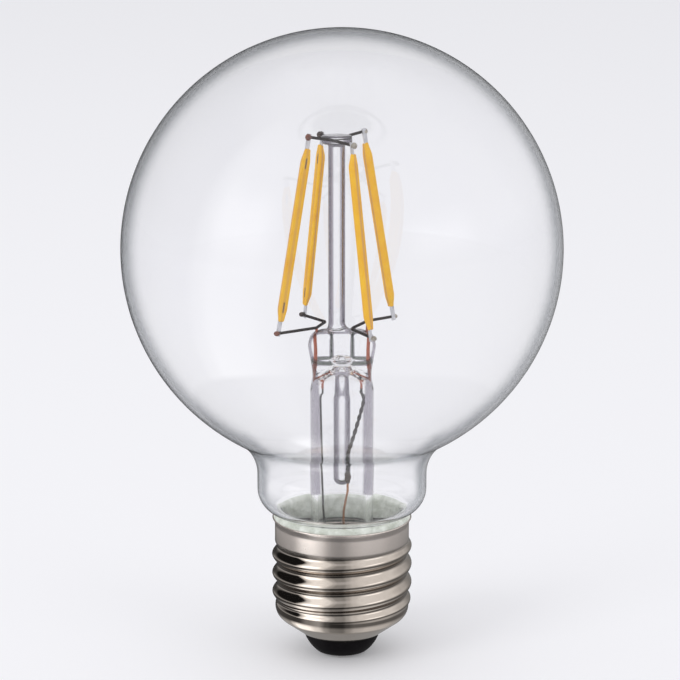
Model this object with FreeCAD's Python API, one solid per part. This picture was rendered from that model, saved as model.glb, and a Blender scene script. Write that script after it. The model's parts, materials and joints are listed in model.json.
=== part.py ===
import FreeCAD, Part
import math
import os

# Clear globe lamp with LED filaments and a 27 mm screw cap
# Millimetres. Z runs up the lamp's axis from the bottom face of the centre contact.
# The cap is at the bottom and the front is -Y.

V = FreeCAD.Vector
UP = V(0, 0, 1)
ORIGIN = V(0, 0, 0)

# Heights of the cap, each from the one below
insulator_drop = 0.6
insulator_height = 3.5
cone_height = 5.1
thread_length = 13.2
collar_height = 4.1

# Cap shell
cap_sheet = 0.3
collar_radius = 12.5
collar_flare = 0.45
collar_flare_height = 1.3
thread_swell = 0.1
thread_depth = 0.9
thread_pitch = 3.629
thread_fade = 1.7
thread_start_drop = 0.5
sections_per_pitch = 8
cone_hole_radius = 7.4
cone_bend = 2.6

# Insulator and centre contact
insulator_foot_radius = 5.0
insulator_bulge = 0.35
insulator_grip = 1.2
insulator_flange_height = 2.3
contact_radius = 3.2
contact_rounding = 0.25
rivet_radius = 1.1
rivet_flange_radius = 1.9
rivet_flange = 0.35
rivet_end = 0.6
rivet_floor = 0.9

# Cement
cement_gap = 0.55
cement_depth = 5.4
cement_bead = 1.1

# Globe, neck and throat
globe_diameter = 80.0
glass_wall = 0.8
neck_radius = 15.7
neck_fillet = 8.0
neck_length = 2.76
shoulder_radius = 4.6
shoulder_rise = 5.5
throat_fillet = 1.0
throat_depth = 6.0

# Stem with its press and flare
stem_radius = 5.85
stem_wall = 1.3
flare_bend = 5.0
stem_length = 30.1
press_length = 11.1
press_half_width = 6.2
press_half_thickness = 3.0
bore_dome = 2.6

# Form of the press from the tube upwards: shares of its length, half width and half thickness
press_form = (
    (0.25, 0.88, 1.43),
    (0.49, 0.93, 1.07),
    (0.72, 1.0, 1.0),
    (0.865, 0.96, 0.95),
    (0.955, 0.84, 0.8),
    (1.0, 0.65, 0.57),
)

# Exhaust tube and the hole blown through the press
exhaust_radius = 1.55
exhaust_bore = 0.75
exhaust_length = 20.2
exhaust_seat = 1.2
blow_hole_rise = 2.4
blow_hole_half_width = 1.4
blow_hole_half_height = 0.8

# Support rod and button
mount_offset = -0.95
rod_radius = 1.53
rod_length = 34.1
rod_seat = 1.2
button_radius = 2.8
button_height = 1.6
button_rounding = 0.5

# Wires above the press
wire_radius = 0.27
wire_bend = 0.9
wire_stub = 0.8
seal_radius = 0.25
seal_side_cover = 1.28
seal_bore_gap = 0.28
seal_tail = 0.4
arm_rise = 0.7
left_seal_rise = -0.3
right_seal_rise = 1.0
left_elbow = (-2.1, 4.0)
right_elbow = (2.6, -2.2)
button_bite = 0.75

# Filaments
filament_turn = 31.5
bottom_ring = 12.1
top_ring = 5.6
corner_turn = {"front_left": 180, "front_right": 270, "rear_left": 90, "rear_right": 0}
foot_rise = {"front_left": 0.0, "front_right": 0.0, "rear_left": 0.0, "rear_right": 0.5}
head_rise = {"front_left": 0.7, "front_right": -0.6, "rear_left": 0.3, "rear_right": 1.1}
coat_length = 31.4
coat_width = 1.7
coat_thickness = 1.35
coat_base = 0.25
coat_taper = 2.6
coat_end_width = 1.1
coat_end_thickness = 0.75
carrier_width = 0.8
carrier_thickness = 0.25
tab_overhang = 0.6
weld_bite = 0.06

# Leads inside the stem
lead_radius = 0.2
lead_overlap = 0.3
lead_drop = 2.0
lead_stub = 0.5
left_lead_gap = 1.08
splice_drop = 13.6
splice_length = 3.2
splice_radius = 0.6
splice_across = 1.0
splice_forward = 2.4
feed_across = 0.3
feed_forward = 2.2
feed_bend_drop = 5.8

# Driver in the cap
board_gap = 0.25
board_drop = 4.6
board_thickness = 1.0
pin_stub = 0.5
capacitor_radius = 3.15
capacitor_length = 7.4
capacitor_place = (5.6, 0.0)
capacitor_rounding = 0.5
capacitor_pin_spacing = 2.5
pin_radius = 0.25
fuse_radius = 1.3
fuse_length = 4.0
fuse_drop = 0.8
fuse_place = (-4.6, -3.6)
fuse_wire_rise = 0.7
chip_width = 3.9
chip_height = 1.5
chip_lift = 0.15
chip_chamfer = 0.25
leg_width = 0.45
leg_thickness = 0.2
leg_reach = 1.1
leg_foot = 0.55
leg_pitch = 1.27
chip_across_share = 0.466
chip_back_share = 0.448
rectifier_legs = 2
driver_chip_legs = 4
shell_wire_radius = 0.35
shell_wire_inset = 2.2
shell_wire_rise = 1.8

# Heights and radii that follow from the sizes above
cone_bottom = insulator_drop + insulator_height
thread_bottom = cone_bottom + cone_height
thread_top = thread_bottom + thread_length
thread_front_valley = thread_top - thread_start_drop
thread_mean_radius = collar_radius + thread_swell
cap_height = thread_top + collar_height
insulator_flange_radius = cone_hole_radius + insulator_grip
insulator_top = cone_bottom + insulator_flange_height
rivet_top = insulator_top + rivet_flange + rivet_end
cement_bottom = cap_height - cement_depth
throat_radius = collar_radius - cap_sheet - cement_gap
throat_bottom = cap_height - throat_depth
shoulder_height = cap_height + shoulder_rise
neck_fillet_height = shoulder_height + neck_length
globe_radius = globe_diameter / 2
fillet_across = neck_radius + neck_fillet
globe_height = neck_fillet_height + math.sqrt((globe_radius + neck_fillet) ** 2 - fillet_across ** 2)
stem_bore = stem_radius - stem_wall
press_start = throat_bottom + stem_length
press_top = press_start + press_length
bore_top = press_start + bore_dome
exhaust_top = bore_top + exhaust_seat
exhaust_tip = bore_top - exhaust_length
button_bottom = press_top + rod_length
arm_height = press_top + arm_rise
top_wire_height = button_bottom + button_height / 2
seal_top_offset = press_half_width - seal_side_cover - seal_radius
seal_foot_offset = stem_bore - seal_bore_gap - seal_radius
seal_foot = press_start - seal_tail
left_lead_offset = stem_bore - left_lead_gap - lead_radius
splice_top = press_start - splice_drop
feed_bend_height = splice_top - splice_length - feed_bend_drop
board_bottom = throat_bottom - stem_wall - board_drop
board_top = board_bottom + board_thickness
board_radius = thread_mean_radius - thread_depth / 2 - cap_sheet - board_gap
chip_across = chip_across_share * board_radius
chip_back = chip_back_share * board_radius
shell_wire_hole = board_radius - shell_wire_inset


def polar(radius, degrees, height=0.0):
    """Point about the Z axis."""
    return V(radius * math.cos(math.radians(degrees)), radius * math.sin(math.radians(degrees)), height)


def ring_point(radius, degrees, height):
    """Point on a ring about the support rod."""
    return polar(radius, degrees, height) + V(mount_offset, 0, 0)


def arc_about(centre, radius, start, end):
    """Arc in the XZ plane between two angles in degrees."""
    turns = [math.radians(a) for a in (start, (start + end) / 2, end)]
    return Part.Arc(*[centre + V(radius * math.cos(a), 0, radius * math.sin(a)) for a in turns]).toShape()


def line(start, end):
    """Straight edge in the XZ plane between two (radius, height) pairs."""
    return Part.makeLine(V(start[0], 0, start[1]), V(end[0], 0, end[1]))


def turned(edges):
    """Solid turned about Z from an open outline, closed by lines between its edges and to the axis."""
    start = edges[0].firstVertex(True).Point
    end = edges[-1].lastVertex(True).Point
    closed = [(V(0, 0, end.z), V(0, 0, start.z)), (V(0, 0, start.z), start), (end, V(0, 0, end.z))]
    closed += [(a.lastVertex(True).Point, b.firstVertex(True).Point) for a, b in zip(edges, edges[1:])]
    bridges = [Part.makeLine(a, b) for a, b in closed if a.distanceToPoint(b) > 1e-6]
    face = Part.Face(Part.Wire(Part.__sortEdges__(edges + bridges)))
    return face.revolve(ORIGIN, UP, 360)


def rounded_path(points, bend):
    """Wire through points with every corner rounded to one bend radius."""
    edges = []
    start = points[0]
    for before, corner, after in zip(points, points[1:], points[2:]):
        inward = (before - corner).normalize()
        outward = (after - corner).normalize()
        half = inward.getAngle(outward) / 2
        first = corner + inward * (bend / math.tan(half))
        last = corner + outward * (bend / math.tan(half))
        middle = corner + (inward + outward).normalize() * (bend / math.sin(half) - bend)
        edges += [Part.makeLine(start, first), Part.Arc(first, middle, last).toShape()]
        start = last
    return Part.Wire(edges + [Part.makeLine(start, points[-1])])


def bent_wire(points, radius):
    """Round wire along a path with rounded bends."""
    section = Part.Wire(Part.makeCircle(radius, points[0], points[1] - points[0]))
    return rounded_path(points, wire_bend).makePipeShell([section], True, False)


def straight_wire(start, end, radius):
    """Round wire between two points."""
    return Part.makeCylinder(radius, (end - start).Length, start, end - start)


def beyond(start, end):
    """Point a wire stub past the end of a stretch of wire."""
    return end + (end - start).normalize() * wire_stub


def save(name, shape):
    """One STEP file for one piece."""
    shape.exportStep("parts/" + name + ".step")


# Globe, blown in one piece with its neck and throat
shoulder_centre = V(neck_radius - shoulder_radius, 0, shoulder_height)
throat_run = throat_radius + throat_fillet - shoulder_centre.x
throat_fall = math.sqrt((shoulder_radius + throat_fillet) ** 2 - throat_run ** 2)
throat_centre = V(throat_radius + throat_fillet, 0, shoulder_height - throat_fall)
globe_end = math.degrees(math.atan2(neck_fillet_height - globe_height, fillet_across))
shoulder_end = math.degrees(math.atan2(-throat_fall, throat_run))


def globe_body(inset):
    """Filled form of the globe, set in from its outer surface."""
    return turned([
        arc_about(V(0, 0, globe_height), globe_radius - inset, 90, globe_end),
        arc_about(V(fillet_across, 0, neck_fillet_height), neck_fillet + inset, 180 + globe_end, 180),
        arc_about(shoulder_centre, shoulder_radius - inset, 0, shoulder_end),
        arc_about(throat_centre, throat_fillet + inset, 180 + shoulder_end, 180),
        line((throat_radius - inset, throat_centre.z), (throat_radius - inset, throat_bottom)),
    ])


globe_outside = globe_body(0)
glass_globe = globe_outside.cut(globe_body(glass_wall))

# Seal wires, slanting out through the press
left_seal = V(-seal_top_offset, 0, arm_height + left_seal_rise)
right_seal = V(seal_top_offset, 0, arm_height + right_seal_rise)
seal_wire_left = straight_wire(V(-seal_foot_offset, 0, seal_foot), left_seal, seal_radius)
seal_wire_right = straight_wire(V(seal_foot_offset, 0, seal_foot), right_seal, seal_radius)

# Exhaust tube with its melted tip
exhaust_tip_centre = V(0, 0, exhaust_tip + exhaust_radius)
exhaust_outside = turned([
    line((exhaust_radius, exhaust_top), (exhaust_radius, exhaust_tip_centre.z)),
    arc_about(exhaust_tip_centre, exhaust_radius, 0, -90),
])
exhaust_inside = turned([
    line((exhaust_bore, exhaust_top), (exhaust_bore, exhaust_tip_centre.z)),
    arc_about(exhaust_tip_centre, exhaust_bore, 0, -90),
])
exhaust_tube = exhaust_outside.cut(exhaust_inside)

# Support rod and button
rod_foot = V(mount_offset, 0, press_top - rod_seat)
support_rod = Part.makeCylinder(rod_radius, button_bottom - rod_foot.z, rod_foot)
button_blank = Part.makeCylinder(button_radius, button_height, V(mount_offset, 0, button_bottom))
button_rims = [e for e in button_blank.Edges if len(e.Vertexes) == 1]
support_button = button_blank.makeFillet(button_rounding, button_rims)


# Stem: a tube flared to meet the throat and pinched flat at its top
def press_section(half_width, half_thickness, height):
    """Closed section of four arcs: a circle when both sizes agree, or the flattened press."""
    slant = math.sqrt(0.5)
    corner = (half_width - half_thickness * (1 - slant), half_thickness * slant)
    corners = [V(x * corner[0], y * corner[1], height) for x, y in ((1, -1), (1, 1), (-1, 1), (-1, -1))]
    middles = [V(half_width, 0, height), V(0, half_thickness, height)]
    middles += [V(-half_width, 0, height), V(0, -half_thickness, height)]
    arcs = [Part.Arc(a, m, b).toShape() for a, m, b in zip(corners, middles, corners[1:] + corners[:1])]
    return Part.Wire(arcs)


flare_centre = V(stem_radius + flare_bend, 0, throat_bottom + flare_bend)
stem_outside = turned([
    line((stem_radius, press_start), (stem_radius, flare_centre.z)),
    arc_about(flare_centre, flare_bend, 180, 270),
    line((throat_radius, throat_bottom), (throat_radius, throat_bottom - stem_wall)),
])
press_sections = [press_section(stem_radius, stem_radius, press_start)]
for rise, width, thickness in press_form:
    section_height = press_start + rise * press_length
    section = press_section(width * press_half_width, thickness * press_half_thickness, section_height)
    press_sections.append(section)
press = Part.makeLoft(press_sections, True, False)
dome_radius = (stem_bore ** 2 + bore_dome ** 2) / (2 * bore_dome)
dome_end = math.degrees(math.atan2(dome_radius - bore_dome, stem_bore))
stem_inside = turned([
    arc_about(V(0, 0, bore_top - dome_radius), dome_radius, 90, dome_end),
    line((stem_bore, press_start), (stem_bore, flare_centre.z)),
    arc_about(flare_centre, flare_bend + stem_wall, 180, 270),
])
blow_hole_centre = V(0, 0, bore_top + blow_hole_rise)
blow_hole_rim = Part.Wire([
    Part.Arc(
        blow_hole_centre + V(side * blow_hole_half_width, 0, 0),
        blow_hole_centre + V(0, 0, side * blow_hole_half_height),
        blow_hole_centre - V(side * blow_hole_half_width, 0, 0),
    ).toShape()
    for side in (1, -1)
])
blow_hole = Part.Face(blow_hole_rim).extrude(V(0, -stem_radius, 0))
blow_channel = Part.makeCylinder(exhaust_bore, blow_hole_rise, V(0, 0, bore_top))
stem = stem_outside.fuse(press).removeSplitter()
stem_hollows = (stem_inside, exhaust_outside, blow_channel, blow_hole)
for tool in stem_hollows + (seal_wire_left, seal_wire_right, support_rod):
    stem = stem.cut(tool)

# Wires that carry the filaments
def foot(corner):
    """Point where the lower end of a filament is welded."""
    return ring_point(bottom_ring, corner_turn[corner] + filament_turn, arm_height + foot_rise[corner])


def head(corner):
    """Point where the upper end of a filament is welded."""
    return ring_point(top_ring, corner_turn[corner] + filament_turn, top_wire_height + head_rise[corner])


def arm_wire(seal, elbow_place, near, far):
    """Bent wire over a seal wire, from one filament foot round an elbow to the other."""
    elbow = V(mount_offset + elbow_place[0], elbow_place[1], arm_height)
    route = [beyond(seal, foot(near)), seal, elbow, beyond(elbow, foot(far))]
    return bent_wire(route, wire_radius)


def top_wire(first, last, degrees):
    """Bent wire between two filament heads, held by its bend in the button."""
    hold = ring_point(button_radius - button_bite, degrees + filament_turn, top_wire_height)
    return bent_wire([beyond(hold, head(first)), hold, beyond(hold, head(last))], wire_radius)


arm_wire_left = arm_wire(left_seal, left_elbow, "front_left", "rear_left")
arm_wire_right = arm_wire(right_seal, right_elbow, "rear_right", "front_right")
top_wire_front = top_wire("front_left", "front_right", 225)
top_wire_rear = top_wire("rear_right", "rear_left", 45)
support_button = support_button.cut(top_wire_front).cut(top_wire_rear)
seal_wire_left = seal_wire_left.cut(arm_wire_left)
seal_wire_right = seal_wire_right.cut(arm_wire_right)


# Filaments: a domed coat moulded round a metal carrier whose bare ends are welded to the wires
def coat_section(width, thickness, height):
    """Flat-backed section of the coat, domed on one side."""
    back = -carrier_thickness / 2 - coat_base
    left, right = V(-width / 2, back, height), V(width / 2, back, height)
    dome = Part.Arc(right, V(0, back + thickness, height), left).toShape()
    return Part.Wire([Part.makeLine(left, right), dome])


def filament(corner, bottom_wire, upper_wire):
    """Coat and carrier of one filament, lying against the ends of its two wires."""
    start, end = foot(corner), head(corner)
    weld_span = start.distanceToPoint(end)
    along = (end - start).normalize()
    side = polar(1, corner_turn[corner] + filament_turn - 90)
    turn = FreeCAD.Rotation(side.cross(along), side, along, "ZXY")
    middle = (start + end) / 2 + side * (wire_radius + carrier_thickness / 2 - weld_bite)
    carrier_length = weld_span + 2 * tab_overhang
    corner = V(-carrier_width / 2, -carrier_thickness / 2, -carrier_length / 2)
    carrier = Part.makeBox(carrier_width, carrier_thickness, carrier_length, corner)
    tip = coat_length / 2
    coat = Part.makeLoft([
        coat_section(coat_end_width, coat_end_thickness, -tip),
        coat_section(coat_width, coat_thickness, coat_taper - tip),
        coat_section(coat_width, coat_thickness, tip - coat_taper),
        coat_section(coat_end_width, coat_end_thickness, tip),
    ], True, True).cut(carrier)
    for piece in (coat, carrier):
        piece.Placement = FreeCAD.Placement(middle, turn)
    return coat, carrier.cut(bottom_wire).cut(upper_wire)


filaments = {
    "front_left": filament("front_left", arm_wire_left, top_wire_front),
    "front_right": filament("front_right", arm_wire_right, top_wire_front),
    "rear_left": filament("rear_left", arm_wire_left, top_wire_rear),
    "rear_right": filament("rear_right", arm_wire_right, top_wire_rear),
}

# Leads down the stem to the board, with a splice in the right one
lead_end = board_bottom - lead_stub
lead_start = V(seal_foot_offset, 0, seal_foot + lead_overlap)
lead_bend = V(seal_foot_offset, 0, seal_foot - lead_drop)
splice_middle = V(splice_across, -splice_forward, splice_top - splice_length / 2)
outer_lead_left = bent_wire([
    V(-lead_start.x, 0, lead_start.z),
    V(-lead_bend.x, 0, lead_bend.z),
    V(-left_lead_offset, 0, board_top + lead_drop),
    V(-left_lead_offset, 0, lead_end),
], lead_radius).cut(seal_wire_left)
outer_lead_right = bent_wire([
    lead_start,
    lead_bend,
    splice_middle + V(0, 0, splice_length),
    splice_middle,
], lead_radius).cut(seal_wire_right)
feed_wire = bent_wire([
    splice_middle,
    splice_middle - V(0, 0, splice_length),
    V(feed_across, -feed_forward, feed_bend_height),
    V(feed_across, -feed_forward, lead_end),
], lead_radius)
splice_waist = V(splice_radius, 0, 0)
splice_outline = Part.Arc(
    V(lead_radius, 0, splice_length / 2),
    splice_waist,
    V(lead_radius, 0, -splice_length / 2),
).toShape()
lead_splice = turned([splice_outline])
lead_splice.translate(splice_middle)
lead_splice = lead_splice.cut(outer_lead_right).cut(feed_wire)

# Cap shell, pressed from one sheet
cone_centre = V(collar_radius - cone_bend, 0, thread_bottom)
cone_run = cone_centre - V(cone_hole_radius, 0, cone_bottom)
cone_slope = math.atan2(cone_run.z, cone_run.x) - math.asin(cone_bend / cone_run.Length)
flare_turn = 2 * math.atan(collar_flare / collar_flare_height)
flare_radius = collar_flare_height / math.sin(flare_turn)
flare_start = cap_height - (flare_radius + cap_sheet) * math.sin(flare_turn)
flare_pivot = V(collar_radius + flare_radius, 0, flare_start)
rim = V(flare_pivot.x - (flare_radius + cap_sheet) * math.cos(flare_turn), 0, cap_height)


def cone_point(radius, inset):
    """Point of the cone's sheet at a radius, set in from its outer surface."""
    height = cone_bottom + (radius - cone_hole_radius) * math.tan(cone_slope)
    return radius, height + inset / math.cos(cone_slope)


def cone_body(inset):
    """Filled bottom of the cap: a cone that bends up into the thread."""
    bend = arc_about(cone_centre, cone_bend - inset, 0, math.degrees(cone_slope) - 90)
    lip_radius = cone_hole_radius - inset * math.sin(cone_slope)
    lip = V(lip_radius, 0, cone_bottom + inset * math.cos(cone_slope))
    return turned([bend, Part.makeLine(bend.lastVertex(True).Point, lip)])


def thread_angle(height):
    """Direction of the thread's crest at a height, for a right-hand thread."""
    return 90 + 360 * (height - thread_front_valley) / thread_pitch


def thread_circle(height, inset):
    """Level section of the thread: a circle whose centre goes round the axis, fading out at both ends."""
    run_out = min((height - thread_bottom) / thread_fade, (thread_top - height) / thread_fade, 1)
    strength = (1 - math.cos(math.pi * run_out)) / 2
    radius = collar_radius + (thread_mean_radius - collar_radius) * strength - inset
    centre = polar(strength * thread_depth / 2, thread_angle(height), height)
    return Part.Wire(Part.makeCircle(radius, centre))


def thread_body(inset):
    """Filled rolled thread, lofted through its level sections."""
    steps = round((thread_top - thread_bottom) / thread_pitch * sections_per_pitch)
    heights = [thread_bottom + (thread_top - thread_bottom) * i / steps for i in range(steps + 1)]
    return Part.makeLoft([thread_circle(height, inset) for height in heights], True, False)


def collar_body(inset):
    """Filled collar that flares out to the rim."""
    flare = arc_about(flare_pivot, flare_radius + inset, 180 - math.degrees(flare_turn), 180)
    wall = line((collar_radius - inset, flare_start), (collar_radius - inset, thread_top))
    rim_edge = Part.makeLine(rim, flare.firstVertex(True).Point) if inset < cap_sheet else None
    return turned([edge for edge in (rim_edge, flare, wall) if edge])


cap_outside = cone_body(0).fuse(thread_body(0)).fuse(collar_body(0))
cap_inside = cone_body(cap_sheet).fuse(thread_body(cap_sheet)).fuse(collar_body(cap_sheet))
cap_hole_radius = cone_hole_radius - cap_sheet * math.sin(cone_slope)
cap_hole = Part.makeCylinder(cap_hole_radius, thread_bottom - cone_bottom, V(0, 0, cone_bottom))
cap_shell = cap_outside.cut(cap_inside).cut(cap_hole)

# Centre contact, a rivet through the insulator
centre_contact = turned([
    line((rivet_radius, rivet_top), (rivet_radius, insulator_top + rivet_flange)),
    line((rivet_flange_radius, insulator_top + rivet_flange), (rivet_flange_radius, insulator_top)),
    line((rivet_radius, insulator_top), (rivet_radius, insulator_drop)),
    line((contact_radius, insulator_drop), (contact_radius, contact_rounding)),
    arc_about(V(contact_radius - contact_rounding, 0, contact_rounding), contact_rounding, 0, -90),
])

# Insulator, moulded round the edge of the cap's hole
foot_middle = (insulator_foot_radius + cap_hole_radius) / 2 + insulator_bulge
insulator_side = Part.Arc(
    V(cap_hole_radius, 0, cone_bottom),
    V(foot_middle, 0, (insulator_drop + cone_bottom) / 2),
    V(insulator_foot_radius, 0, insulator_drop),
).toShape()
cap_insulator = turned([
    line((insulator_flange_radius, insulator_top), cone_point(insulator_flange_radius, cap_sheet / 2)),
    line(cone_point(cone_hole_radius, cap_sheet / 2), (cap_hole_radius, cone_bottom)),
    insulator_side,
]).cut(cap_shell).cut(centre_contact)

# Cement between throat and collar, with a bead round the rim
cement_inner = throat_radius - glass_wall / 2
cement_top = cap_height + cement_bead
sheet_middle = collar_radius - cap_sheet / 2
cement_low_radius = thread_mean_radius - thread_depth / 2 - cap_sheet
bead_middle = V(rim.x - cement_bead / 4, 0, cap_height + cement_bead * 0.7)
bead = Part.Arc(V(cement_inner, 0, cement_top), bead_middle, rim).toShape()
cement_blank = turned([
    bead,
    line((sheet_middle, flare_start), (sheet_middle, thread_top)),
    line((cement_low_radius, thread_top), (cement_low_radius, cement_bottom)),
])
cap_cement = cement_blank.cut(globe_outside).cut(cap_shell)


# Driver: a round board with its parts
def chip(place, legs, pitch):
    """Flat package with rows of bent legs on two sides."""
    length = legs * pitch
    x, y = place
    bottom = board_top + chip_lift
    body = Part.makeBox(length, chip_width, chip_height, V(x - length / 2, y - chip_width / 2, bottom))
    top_edges = [e for e in body.Edges if e.BoundBox.ZMin > bottom + chip_height / 2]
    package = body.makeChamfer(chip_chamfer, top_edges)
    shin = leg_reach - leg_foot
    knee = bottom + chip_height / 2
    side_view = [
        (-chip_chamfer, knee),
        (shin, knee),
        (shin, board_top + leg_thickness),
        (leg_reach, board_top + leg_thickness),
        (leg_reach, board_top),
        (shin - leg_thickness, board_top),
        (shin - leg_thickness, knee - leg_thickness),
        (-chip_chamfer, knee - leg_thickness),
        (-chip_chamfer, knee),
    ]
    for row in range(legs):
        start = x + (row - (legs - 1) / 2) * pitch - leg_width / 2
        for side in (1, -1):
            corners = [V(start, y + side * (chip_width / 2 + out), z) for out, z in side_view]
            package = package.fuse(Part.Face(Part.makePolygon(corners)).extrude(V(leg_width, 0, 0)))
    return package.removeSplitter()


capacitor_middle = V(capacitor_place[0], capacitor_place[1], board_bottom - capacitor_length)
smoothing_capacitor = Part.makeCylinder(capacitor_radius, capacitor_length, capacitor_middle)
capacitor_level = board_bottom - capacitor_length / 2
capacitor_rim = [e for e in smoothing_capacitor.Edges if e.BoundBox.ZMax < capacitor_level]
smoothing_capacitor = smoothing_capacitor.makeFillet(capacitor_rounding, capacitor_rim)
for side in (1, -1):
    pin_foot = capacitor_middle + V(side * capacitor_pin_spacing / 2, 0, capacitor_length / 2)
    pin = Part.makeCylinder(pin_radius, capacitor_length / 2 + board_thickness + pin_stub, pin_foot)
    smoothing_capacitor = smoothing_capacitor.fuse(pin)

fuse_head = V(fuse_place[0], fuse_place[1], board_top + pin_stub)
fuse_level = rivet_top + fuse_wire_rise
fuse_lead = bent_wire([
    fuse_head,
    V(fuse_head.x, fuse_head.y, fuse_level),
    V(0, 0, fuse_level),
    V(0, 0, insulator_drop + rivet_floor),
], pin_radius)
fuse_foot = V(fuse_head.x, fuse_head.y, board_bottom - fuse_drop - fuse_length)
fuse_resistor = Part.makeCylinder(fuse_radius, fuse_length, fuse_foot)
fuse_rims = [e for e in fuse_resistor.Edges if len(e.Vertexes) == 1]
fuse_resistor = fuse_resistor.makeFillet(fuse_radius / 3, fuse_rims).fuse(fuse_lead)
centre_contact = centre_contact.cut(fuse_lead)

shell_wire_height = board_top + shell_wire_rise
shell_wire_turn = thread_angle(shell_wire_height) + 180
shell_wire_end = thread_mean_radius - thread_depth / 2 - cap_sheet / 2
shell_wire = bent_wire([
    polar(shell_wire_hole, shell_wire_turn, lead_end),
    polar(shell_wire_hole, shell_wire_turn, shell_wire_height),
    polar(shell_wire_end, shell_wire_turn, shell_wire_height),
], shell_wire_radius).cut(cap_shell)

driver_board = Part.makeCylinder(board_radius, board_thickness, V(0, 0, board_bottom))
for tool in (outer_lead_left, feed_wire, smoothing_capacitor, fuse_resistor, shell_wire):
    driver_board = driver_board.cut(tool)

os.makedirs("parts", exist_ok=True)
pieces = {
    "glass_globe": glass_globe,
    "stem": stem,
    "exhaust_tube": exhaust_tube,
    "support_rod": support_rod,
    "support_button": support_button,
    "seal_wire_left": seal_wire_left,
    "seal_wire_right": seal_wire_right,
    "arm_wire_left": arm_wire_left,
    "arm_wire_right": arm_wire_right,
    "top_wire_front": top_wire_front,
    "top_wire_rear": top_wire_rear,
    "outer_lead_left": outer_lead_left,
    "outer_lead_right": outer_lead_right,
    "lead_splice": lead_splice,
    "feed_wire": feed_wire,
    "cap_shell": cap_shell,
    "cap_cement": cap_cement,
    "cap_insulator": cap_insulator,
    "centre_contact": centre_contact,
    "driver_board": driver_board,
    "bridge_rectifier": chip((-chip_across, chip_back), rectifier_legs, 2 * leg_pitch),
    "driver_chip": chip((chip_across, chip_back), driver_chip_legs, leg_pitch),
    "smoothing_capacitor": smoothing_capacitor,
    "fuse_resistor": fuse_resistor,
    "shell_wire": shell_wire,
}
for place, (coat, carrier) in filaments.items():
    pieces["filament_" + place] = coat
    pieces["carrier_" + place] = carrier
for name, piece in pieces.items():
    save(name, piece)
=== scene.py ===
import json
import logging
import math
from dataclasses import dataclass, field
from enum import Enum
from functools import cache

import bpy
import numpy as np
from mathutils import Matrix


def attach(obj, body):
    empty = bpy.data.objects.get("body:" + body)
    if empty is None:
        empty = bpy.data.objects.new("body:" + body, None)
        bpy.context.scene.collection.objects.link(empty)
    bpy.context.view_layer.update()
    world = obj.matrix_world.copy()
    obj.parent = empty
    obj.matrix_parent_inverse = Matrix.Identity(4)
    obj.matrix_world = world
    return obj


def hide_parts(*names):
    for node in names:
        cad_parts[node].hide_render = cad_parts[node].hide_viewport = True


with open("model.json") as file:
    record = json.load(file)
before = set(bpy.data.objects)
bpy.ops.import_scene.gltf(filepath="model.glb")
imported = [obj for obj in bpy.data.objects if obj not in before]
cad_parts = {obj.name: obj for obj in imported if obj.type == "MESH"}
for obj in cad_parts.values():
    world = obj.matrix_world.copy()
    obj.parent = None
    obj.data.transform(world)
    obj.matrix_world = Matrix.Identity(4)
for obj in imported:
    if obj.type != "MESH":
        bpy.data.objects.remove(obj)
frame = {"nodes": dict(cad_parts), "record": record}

LOG = logging.getLogger("globe_lamp")
MM = 0.001
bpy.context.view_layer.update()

Piece = bpy.types.Object
Material = bpy.types.Material
Tree = bpy.types.NodeTree
Socket = bpy.types.NodeSocket
Pair = tuple[float, float]
Triple = tuple[float, float, float]


class Ends(Enum):
    """How the first and last rows of a grid are closed."""

    POLES = "poles"
    RING = "ring"


class Corner(Enum):
    """Corner of the filament cage, with its direction in degrees before the cage is turned."""

    FRONT_LEFT = 180
    FRONT_RIGHT = 270
    REAR_LEFT = 90
    REAR_RIGHT = 0


class Tone(Enum):
    """Colour that a weld was left with."""

    RED = "red"
    DARK = "dark"
    SILVER = "silver"


# Outlines, grids and meshes
def around(columns: int) -> np.ndarray:
    """Angles of a number of columns, evenly spaced round a full turn."""
    return np.linspace(0, 2 * np.pi, columns, endpoint=False)


def arc(centre: Pair, radius: float, start: float, end: float, steps: int) -> np.ndarray:
    """(radius, height) rows of an arc between two angles, in degrees from the outward direction."""
    turn = np.radians(np.linspace(start, end, steps))
    return np.stack([centre[0] + radius * np.cos(turn), centre[1] + radius * np.sin(turn)], axis=1)


def straight(start: Pair, end: Pair, steps: int) -> np.ndarray:
    """(radius, height) rows of a straight stretch between two pairs."""
    return np.linspace(start, end, steps)


def joined(*stretches: np.ndarray) -> np.ndarray:
    """One outline from stretches that follow each other, without repeated points.

    Args:
        stretches: arrays of (radius, height) rows.

    Returns:
        One array of rows.
    """
    least_gap = 1e-5
    line = np.concatenate(stretches)
    gaps = np.hypot(*np.diff(line, axis=0).T)
    return line[np.concatenate([[True], gaps > least_gap])]


def turned(outline: np.ndarray, columns: int) -> np.ndarray:
    """Grid of an outline turned about Z: (r cos u, r sin u, z) for each outline point (r, z) and angle u.

    Args:
        outline: (radius, height) rows.
        columns: points round the axis.

    Returns:
        Grid of rows by columns by 3, in millimetres.
    """
    turn = around(columns)
    radius, height = outline[:, :1], outline[:, 1:]
    return np.stack([radius * np.cos(turn), radius * np.sin(turn), height + 0 * turn], axis=2)


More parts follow.
